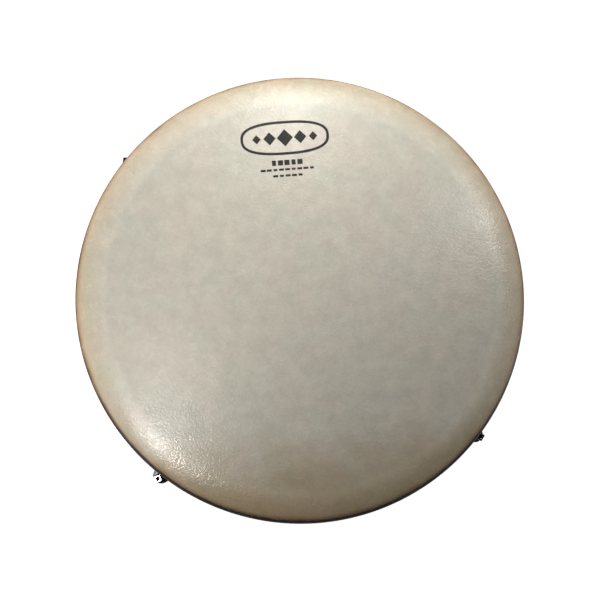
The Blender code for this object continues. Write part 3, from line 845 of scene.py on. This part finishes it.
def build_shell():
    """The turned wooden shell, drilled for the lug bolts, bare inside and on its two ends."""
    outside = outer_wall() + [(FOOT_RADIUS, SHELL_LOW.z)]
    profile = outside + inner_wall()
    shell = lathe("wooden_shell", profile, WOOD, crease=50.0)
    shell.data.materials.append(RAW_WOOD)
    wall_middle = 0.1385
    drills = bmesh.new()
    for node in [f"lug_bolt_{k}_{side}" for k in (1, 2, 3, 4) for side in ("upper", "lower")]:
        a, level = middle_of(node)
        tilt = Matrix.Rotation(a, 4, "Z") @ Matrix.Rotation(pi / 2, 4, "Y")
        matrix = Matrix.Translation((wall_middle * cos(a), wall_middle * sin(a), level)) @ tilt
        cylinder(drills, BOLT_HOLE_RADIUS, 0.032, matrix)
    shaped(shell, [(new_piece("drills", drills), "DIFFERENCE")], crease=50.0)
    for face in shell.data.polygons:
        centre = face.center
        inward = centre.x * face.normal.x + centre.y * face.normal.y < -1e-4
        top = face.normal.z > 0.9 and centre.z > HEAD_TOP - 0.02
        under = face.normal.z < -0.9 and centre.z < SHELL_LOW.z + 0.001
        face.material_index = 1 if inward or top or under else 0
    stands_for(shell, "drum", "stained_wood", "shell")


# ---- hoops
FLANGE_THICK = 0.0022
FLANGE_INNER = 0.1556
SKIRT_OUTER, SKIRT_INNER = 0.1594, 0.1576
EAR_RADIUS = 0.0063
EAR_RISE = 0.0004
ROD_HOLE_RADIUS = 0.0031
CHANNEL_INNER = 0.1512
CHANNEL_WALL = 0.0010


def build_counterhoop():
    """An angle ring with rolled edges and four ears."""
    top = HOOP_HIGH.z - EAR_RISE
    under = top - FLANGE_THICK
    profile = rounded(
        [
            (HOOP_HIGH.x, top),
            (HOOP_HIGH.x, under),
            (SKIRT_OUTER, under),
            (SKIRT_OUTER, HOOP_LOW.z),
            (SKIRT_INNER, HOOP_LOW.z),
            (SKIRT_INNER, under),
            (FLANGE_INNER, under),
            (FLANGE_INNER, top),
        ],
        [0.0010, 0.0009, 0.0012, 0.0006, 0.0006, 0.0003, 0.0008, 0.0009],
        5,
    )
    hoop = lathe("counterhoop_ring", profile, ENAMEL)
    tools = []
    low, high = under + 0.0003, HOOP_HIGH.z
    section = rounded(disc(EAR_RADIUS, high, low), 0.0005, 4, closed=False)
    for angle in STATIONS:
        ear = lathe("ear", section, steps=48, closed=False, matrix=at_station(angle, ROD_CIRCLE))
        tools.append((ear, "UNION"))
    section = disc(ROD_HOLE_RADIUS, high + 0.002, low - 0.002)
    for angle in STATIONS:
        hole = lathe("rod_hole", section, steps=32, closed=False, matrix=at_station(angle, ROD_CIRCLE))
        tools.append((hole, "DIFFERENCE"))
    shaped(hoop, tools)
    stands_for(hoop, "hoop", "black_enamel", "counterhoop")


def build_flesh_hoop():
    """The aluminium channel that holds the film's hem."""
    outer, inner, wall = CHANNEL_HIGH.x, CHANNEL_INNER, CHANNEL_WALL
    low, high = CHANNEL_LOW.z, CHANNEL_HIGH.z
    profile = rounded(
        [
            (outer, high),
            (outer, low),
            (inner, low),
            (inner, high),
            (inner + wall, high),
            (inner + wall, low + wall),
            (outer - wall, low + wall),
            (outer - wall, high),
        ],
        [0.0003, 0.0011, 0.0011, 0.0003, 0.0003, 0.0008, 0.0008, 0.0003],
        4,
    )
    channel = lathe("flesh_hoop_channel", profile, ALUMINIUM)
    stands_for(channel, "hoop", "plain_aluminium", "flesh_hoop")


# ---- rods and washers
ROD_RADIUS = 0.00265
KEY_WIDTH = 0.0051
DIMPLE_RADIUS = 0.0013
COLLAR_RADIUS = 0.0048
COLLAR_TOP, COLLAR_BOTTOM = -0.0067, -0.0085  # below the rod's top
THREAD_PITCH = 0.0254 / 24
THREAD_DEPTH = 0.00045


def build_rods():
    """Tension rods: square key heads on round collars, and a cut thread on the lower shank."""
    low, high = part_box("tension_rod_1")
    end = low.z - high.z
    collar = disc(COLLAR_RADIUS, COLLAR_TOP, COLLAR_BOTTOM)
    collar = rounded(collar, [0.0, 0.0005, 0.0004, 0.0], 4, closed=False)
    rod = lathe("rod_1", collar, CHROME, steps=48, closed=False, crease=40.0)
    half = KEY_WIDTH / 2
    foot = COLLAR_TOP - 0.0006
    dimple = [(0.0, -0.0018), (0.0011, -0.0015), (DIMPLE_RADIUS, -0.0006), (DIMPLE_RADIUS, 0.0)]
    corners = dimple + [(half, 0.0), (half, foot), (0.0, foot)]
    roundings = [0.0, 0.0, 0.0002, 0.0003, 0.0006, 0.0, 0.0]

    def square(radius, height, angle):
        if radius < 0.0018:
            return radius, height
        return radius / (cos(angle) ** 10 + sin(angle) ** 10) ** 0.1, height

    key = bmesh.new()
    turn(key, rounded(corners, roundings, 4, closed=False), 96, False, swell=square)
    joined(rod, key)
    shank = bmesh.new()
    thread(shank, ROD_RADIUS, COLLAR_BOTTOM + 0.0005, end + 0.040, end, THREAD_PITCH, THREAD_DEPTH, 0.0009)
    joined(rod, shank)
    rod.data.materials.append(ENAMEL)
    # black collar and black key sides, with black enamel in the dimple as painted shade, leave a bright ring
    # on top of the key
    for face in rod.data.polygons:
        out, level = face.center.xy.length, face.center.z
        collar_face = COLLAR_BOTTOM - 0.0001 < level < COLLAR_TOP + 0.0003 and out > KEY_WIDTH * 0.56
        dimple_shade_face = level > -0.0020 and out < DIMPLE_RADIUS and abs(level) > 0.0002
        key_side = level > COLLAR_TOP + 0.0003 and out > 0.0021
        face.material_index = 1 if collar_face or dimple_shade_face or key_side else 0
    for index, piece in enumerate(copies(rod, len(RODS)), start=1):
        joint = RODS[index - 1]
        spin = Matrix.Rotation(radians(23.0 + 31.0 * index), 4, "Z")
        piece.name = f"rod_{index}_threaded"
        piece.matrix_world = Matrix.Translation((joint["pos_m"][0], joint["pos_m"][1], high.z)) @ spin
        stands_for(piece, joint["child"], "chrome", f"tension_rod_{index}")


def build_washers():
    """Flat washers on the ears, under the rods' collars."""
    low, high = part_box("rod_washer_1")
    thick = high.z - low.z
    profile = rounded(ring(0.0060, ROD_HOLE_RADIUS, thick), [0.0006, 0.0004, 0.0002, 0.0005], 4)
    washer = lathe("washer_1", profile, ENAMEL, steps=64)
    at_each_station(washer, "washer", ROD_CIRCLE, low.z, "hoop", "black_enamel", "rod_washer")


# ---- lugs
PLATE_IN, PLATE_OUT = 0.1517, 0.1547
PLATE_WIDTH, PLATE_HEIGHT = 0.026, 0.058
LUG_MIDDLE = HEAD_TOP - 0.097
BOSS_RADIUS = 0.0075
BOSS_BORE = 0.0047
BOSS_HALF = 0.012
WEB_HALF = 0.0055
FILLET_HALF = 0.0070
BOLT_OFFSET = 0.0205
BOLT_SEAT, NUT_SEAT = 0.1550, 0.1208  # distances from the drum's axis
GASKET_IN, GASKET_OUT, GASKET_CURVE = 0.1459, 0.1514, 0.1499
STRAP_IN, STRAP_OUT = 0.1251, 0.1267


def bolt_drills(x_low, x_high, radius):
    """Cutters for a lug's two bolt holes."""
    drills = bmesh.new()
    for side in (-1, 1):
        middle = Matrix.Translation(((x_low + x_high) / 2, 0, side * BOLT_OFFSET))
        cylinder(drills, radius, x_high - x_low, middle @ Matrix.Rotation(pi / 2, 4, "Y"))
    return new_piece("drills", drills)


def build_brackets():
    """Cast brackets: a plate, a web that spreads into it, and a boss round the nut, all softened."""
    plate = bmesh.new()
    low = (PLATE_IN, -PLATE_WIDTH / 2, -PLATE_HEIGHT / 2)
    high = (PLATE_OUT, PLATE_WIDTH / 2, PLATE_HEIGHT / 2)
    rounded_plate(plate, low, high, 0.0085, 0.0008)
    bracket = new_piece("lug_casting_1", plate, ENAMEL)
    axis = Matrix.Translation((ROD_CIRCLE, 0, 0))
    section = rounded(disc(BOSS_RADIUS, BOSS_HALF, -BOSS_HALF), 0.0010, 4, closed=False)
    boss = lathe("boss", section, steps=64, closed=False, matrix=axis)
    web = bmesh.new()
    root = PLATE_OUT - 0.0015
    box(web, (root, -WEB_HALF, -BOSS_HALF + 0.0015), (ROD_CIRCLE - 0.001, WEB_HALF, BOSS_HALF - 0.0015))
    fillet = bmesh.new()
    box(fillet, (root, -FILLET_HALF, -BOSS_HALF), (PLATE_OUT + 0.0012, FILLET_HALF, BOSS_HALF))
    bore = bmesh.new()
    cylinder(bore, BOSS_BORE, 0.05, axis, segments=48)
    tools = [
        (new_piece("web", web), "UNION"),
        (new_piece("fillet", fillet), "UNION"),
        (boss, "UNION"),
        (new_piece("bore", bore), "DIFFERENCE"),
        (bolt_drills(PLATE_IN - 0.004, PLATE_OUT + 0.004, 0.0029), "DIFFERENCE"),
    ]
    shaped(bracket, tools, voxel=0.00042, smooth=4)
    at_each_station(bracket, "lug_casting", 0.0, LUG_MIDDLE, "drum", "black_enamel", "lug_bracket")


def build_gaskets():
    """Rubber gaskets, hollowed to the shell's curve."""
    plate = bmesh.new()
    width, height = PLATE_WIDTH + 0.002, PLATE_HEIGHT + 0.002
    low, high = (GASKET_IN, -width / 2, -height / 2), (GASKET_OUT, width / 2, height / 2)
    rounded_plate(plate, low, high, 0.0095, 0.0004)
    gasket = new_piece("lug_pad_1", plate, RUBBER)
    curve = bmesh.new()
    cylinder(curve, GASKET_CURVE, 0.1, segments=720)
    holes = bolt_drills(0.14, 0.16, BOLT_HOLE_RADIUS)
    shaped(gasket, [(new_piece("curve", curve), "DIFFERENCE"), (holes, "DIFFERENCE")])
    at_each_station(gasket, "lug_pad", 0.0, LUG_MIDDLE, "drum", "black_rubber", "lug_gasket")


def build_lug_nuts():
    """Swivel nuts: a barrel in the boss and a knurled flange under it."""
    low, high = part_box("lug_nut_1")
    tall = high.z - low.z
    flange = 0.0028
    barrel, knurled, bore = 0.0043, 0.0064, 0.00305

    def knurl(radius, height, angle):
        if radius < 0.0063:
            return radius, height
        return radius - 0.00022 * (0.5 + 0.5 * cos(36 * angle)), height

    profile = rounded(
        [(barrel, tall), (barrel, flange), (knurled, flange), (knurled, 0.0), (bore, 0.0), (bore, tall)],
        [0.0004, 0.0, 0.0003, 0.0005, 0.0003, 0.0004],
        3,
    )
    nut = lathe("swivel_nut_1", profile, CHROME, steps=216, swell=knurl)
    at_each_station(nut, "swivel_nut", ROD_CIRCLE, low.z, "drum", "chrome", "lug_nut")


def cross_blades(radius, depth, height):
    """The two tapered blades of a cross recess, as cutters."""
    blades = []
    for turn_angle in (0.0, pi / 2):
        blade = bmesh.new()
        half, thin = radius, radius * 0.22
        for vert in box(blade, (-half, -thin, -depth), (half, thin, depth))["verts"]:
            if vert.co.z < 0:
                vert.co.x *= 0.45
                vert.co.y *= 0.7
        matrix = Matrix.Translation((0, 0, height)) @ Matrix.Rotation(turn_angle, 4, "Z")
        bmesh.ops.transform(blade, matrix=matrix, verts=blade.verts)
        blades.append((new_piece("blade", blade), "DIFFERENCE"))
    return blades


def thread(bm, radius, top, thread_top, bottom, pitch, depth, tip, pointed=False):
    """A closed shank with a right-hand thread cut into its lower part."""
    rows = int((thread_top - bottom) / (pitch / 6))
    profile = [(0.0, top), (radius, top), (radius, thread_top + pitch)]
    profile += [(radius, thread_top + (bottom + tip - thread_top) * i / rows) for i in range(rows + 1)]
    profile += [(max(radius - tip, 0.0001), bottom), (0.0, bottom)]

    def cut(point_radius, height, angle):
        if point_radius != radius or height > thread_top:
            return point_radius, height
        runout = min(1.0, (thread_top - height) / (3 * pitch))
        taper = min(1.0, 0.15 + (height - bottom) / (5 * radius)) if pointed else 1.0
        phase = (height / pitch - angle / (2 * pi)) % 1.0
        return radius * taper - depth * runout * (1 - abs(2 * phase - 1)), height

    turn(bm, profile, 28, False, swell=cut)


def screw_mesh(name, head_radius, head_height, shank_radius, length, material, pointed):
    """A round-headed screw whose head stands on z = 0."""
    profile = [(head_radius * sin(radians(a)), head_height * cos(radians(a))) for a in range(0, 90, 9)]
    profile += [(head_radius, 0.0), (0.0, 0.0)]
    screw = lathe(name, profile, material, steps=48, closed=False)
    shaped(screw, cross_blades(head_radius * 0.52, head_height * 0.60, head_height), crease=40.0)
    shank = bmesh.new()
    pitch = shank_radius * 0.42
    tip = shank_radius * (1.0 if pointed else 0.3)
    thread(shank, shank_radius, head_height * 0.3, -0.0008, -length, pitch, shank_radius * 0.16, tip, pointed)
    return joined(screw, shank)


def build_lug_bolts():
    """Round-headed bolts through each lug, with hexagon nuts inside the shell."""
    low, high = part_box("lug_bolt_1_upper")
    bolt_end = hypot(min(abs(low.x), abs(high.x)), min(abs(low.y), abs(high.y)))
    length = BOLT_SEAT - bolt_end - 0.0012
    bolt = screw_mesh("bolt", 0.0048, 0.0028, 0.0025, length, ENAMEL, False)
    nut_height = 0.0040
    across_flats, across_corners, bore = 0.0040, 0.0046, 0.0029  # half widths
    section = rounded(ring(across_corners, bore, nut_height), 0.0004, 3)

    def six_sided(radius, height, angle):
        if radius < across_flats:
            return radius, height
        flat = across_flats / cos((angle + pi / 6) % (pi / 3) - pi / 6)
        rise = min(height, nut_height - height)
        crown = across_flats + 0.0006 * min(1.0, rise / 0.0004)
        return min(flat, crown, radius + 0.0002), height

    nut = lathe("nut", section, ZINC, steps=96, swell=six_sided)
    bolts = copies(bolt, 2 * len(RODS))
    nuts = copies(nut, 2 * len(RODS))
    outward = Matrix.Rotation(pi / 2, 4, "Y")
    for index, angle in enumerate(STATIONS, start=1):
        for side, sign in (("upper", 1), ("lower", -1)):
            spin = Matrix.Rotation(radians(47.0 * index + 20.0 * sign), 4, "Z")
            level = LUG_MIDDLE + sign * BOLT_OFFSET
            piece = bolts.pop()
            piece.name = f"bolt_{index}_{side}"
            piece.matrix_world = at_station(angle, BOLT_SEAT, level, outward @ spin)
            stands_for(piece, "drum", "black_enamel", f"lug_bolt_{index}_{side}")
            piece = nuts.pop()
            piece.name = f"bolt_nut_{index}_{side}"
            piece.matrix_world = at_station(angle, NUT_SEAT, level, outward @ spin)
            stands_for(piece, "drum", "zinc_steel", f"lug_bolt_nut_{index}_{side}")


def build_backing_plates():
    """Steel straps inside the shell, under the nuts."""
    plate = bmesh.new()
    rounded_plate(plate, (STRAP_IN, -0.0075, -0.029), (STRAP_OUT, 0.0075, 0.029), 0.005, 0.0003)
    strap = new_piece("backing_strap_1", plate, ZINC)
    shaped(strap, [(bolt_drills(0.12, 0.13, BOLT_HOLE_RADIUS), "DIFFERENCE")])
    at_each_station(strap, "backing_strap", 0.0, LUG_MIDDLE, "drum", "zinc_steel", "lug_backing_plate")


# ---- foot
def build_foot_ring():
    """The rubber ring: a lip round the wood and a pad with grooves under it."""
    outer, bore = FOOT_HIGH.x, 0.0860
    lip, pad, top = FOOT_RADIUS + 0.0003, 0.0060, FOOT_HIGH.z
    under = [(outer, 0.0)]
    for i in range(4):
        centre = outer - 0.0055 - i * 0.0055
        mouth, bed, deep = 0.0012, 0.0008, 0.0009
        under += [(centre + mouth, 0.0), (centre + bed, deep), (centre - bed, deep), (centre - mouth, 0.0)]
    corners = [(outer, top)] + under + [(bore, 0.0), (bore, pad), (lip, pad), (lip, top)]
    sizes = [0.0012, 0.0018] + [0.0003] * 16 + [0.0012, 0.0012, 0.0, 0.0006]
    profile = rounded(corners, sizes, 3)
    foot_ring = lathe("rubber_foot_ring", profile, RUBBER)
    tools = []
    for index in range(1, 7):
        a, level = middle_of(f"foot_ring_screw_{index}")
        drill = bmesh.new()
        matrix = at_station(degrees(a), lip + 0.002, level, Matrix.Rotation(pi / 2, 4, "Y"))
        cylinder(drill, 0.0019, 0.012, matrix)
        tools.append((new_piece("drill", drill), "DIFFERENCE"))
    shaped(foot_ring, tools)
    stands_for(foot_ring, "drum", "black_rubber", "foot_ring")


def build_foot_screws():
    """Round-headed screws that hold the foot ring to the wood."""
    screw = screw_mesh("foot_screw", 0.0034, 0.0018, 0.0016, 0.0120, ZINC, True)
    for index, piece in enumerate(copies(screw, 6), start=1):
        a, level = middle_of(f"foot_ring_screw_{index}")
        spin = Matrix.Rotation(radians(37.0 * index), 4, "Z")
        piece.name = f"foot_screw_{index}"
        outward = Matrix.Rotation(pi / 2, 4, "Y")
        piece.matrix_world = at_station(degrees(a), FOOT_HIGH.x + 0.0003, level, outward @ spin)
        stands_for(piece, "drum", "zinc_steel", f"foot_ring_screw_{index}")


# ---- stage and light
def build_floor():
    """A wide flat sheet just under the foot ring."""
    bm = bmesh.new()
    bmesh.ops.create_grid(bm, x_segments=1, y_segments=1, size=6.0)
    floor = new_piece("floor", bm, floor_material())
    floor.location.z = -0.0002


def add_light(name, kind, place, power):
    """A lamp that the camera doesn't see."""
    light = bpy.data.objects.new(name, bpy.data.lights.new(name, kind))
    bpy.context.scene.collection.objects.link(light)
    light.data.energy = power
    light.location = place
    light.visible_camera = False
    return light


def area_light(name, place, power):
    """A soft round panel that faces the middle of the shell."""
    light = add_light(name, "AREA", place, power)
    light.data.shape = "DISK"
    light.data.size = 0.5
    aim = Vector((0, 0, 0.25)) - Vector(place)
    light.rotation_euler = aim.to_track_quat("-Z", "Y").to_euler()


def bulb(name, place, radius, power, diffuse=True, glossy=True):
    """A round lamp.  The fill lamps light the colours only; the glint lamps make only sheen."""
    light = add_light(name, "POINT", place, power)
    light.data.shadow_soft_size = radius
    light.data.color = (1.0, 0.98, 0.95)
    light.visible_diffuse = diffuse
    light.visible_glossy = glossy


def build_lights():
    """Fills and glints for the head, panels for the shell, and a background white only to the camera."""
    bulb("top_lamp", (-0.006, 0.244, HEAD_TOP + 0.25), 0.045, 4.2, glossy=False)
    bulb("side_lamp", (-0.112, -0.061, HEAD_TOP + 0.112), 0.03, 0.25, glossy=False)
    bulb("left_edge_lamp", (-0.55, 0.10, HEAD_TOP + 0.10), 0.05, 4.2, glossy=False)
    bulb("right_edge_lamp", (0.60, 0.25, HEAD_TOP + 0.10), 0.05, 1.2, glossy=False)
    bulb("top_glint", (-0.0045, 0.415, HEAD_TOP + 0.40), 0.045, 1.3, diffuse=False)
    bulb("right_glint", (0.365, 0.215, HEAD_TOP + 0.40), 0.05, 1.2, diffuse=False)
    bulb("side_glint", (-0.256, -0.232, HEAD_TOP + 0.40), 0.045, 2.9, diffuse=False)
    area_light("left_soft", (-1.5, -1.3, 0.25), 5.0)
    area_light("right_soft", (1.7, -0.6, 0.25), 2.0)
    area_light("back_soft", (0.5, 1.8, 0.25), 4.0)
    world = bpy.data.worlds.new("studio")
    bpy.context.scene.world = world
    world.use_nodes = True
    tree = world.node_tree
    background = tree.nodes["Background"]
    background.inputs["Color"].default_value = (1.0, 1.0, 1.0, 1.0)
    rays = tree.nodes.new("ShaderNodeLightPath")
    strength = tree.nodes.new("ShaderNodeMapRange")
    strength.inputs["To Min"].default_value = WORLD_LIGHT
    strength.inputs["To Max"].default_value = 1.0
    tree.links.new(rays.outputs["Is Camera Ray"], strength.inputs["Value"])
    tree.links.new(strength.outputs[0], background.inputs["Strength"])
    bpy.context.scene.view_settings.view_transform = "Standard"


build_film()
build_mark()
build_shell()
build_counterhoop()
build_flesh_hoop()
build_rods()
build_washers()
build_brackets()
build_gaskets()
build_lug_nuts()
build_lug_bolts()
build_backing_plates()
build_foot_ring()
build_foot_screws()
build_floor()
build_lights()
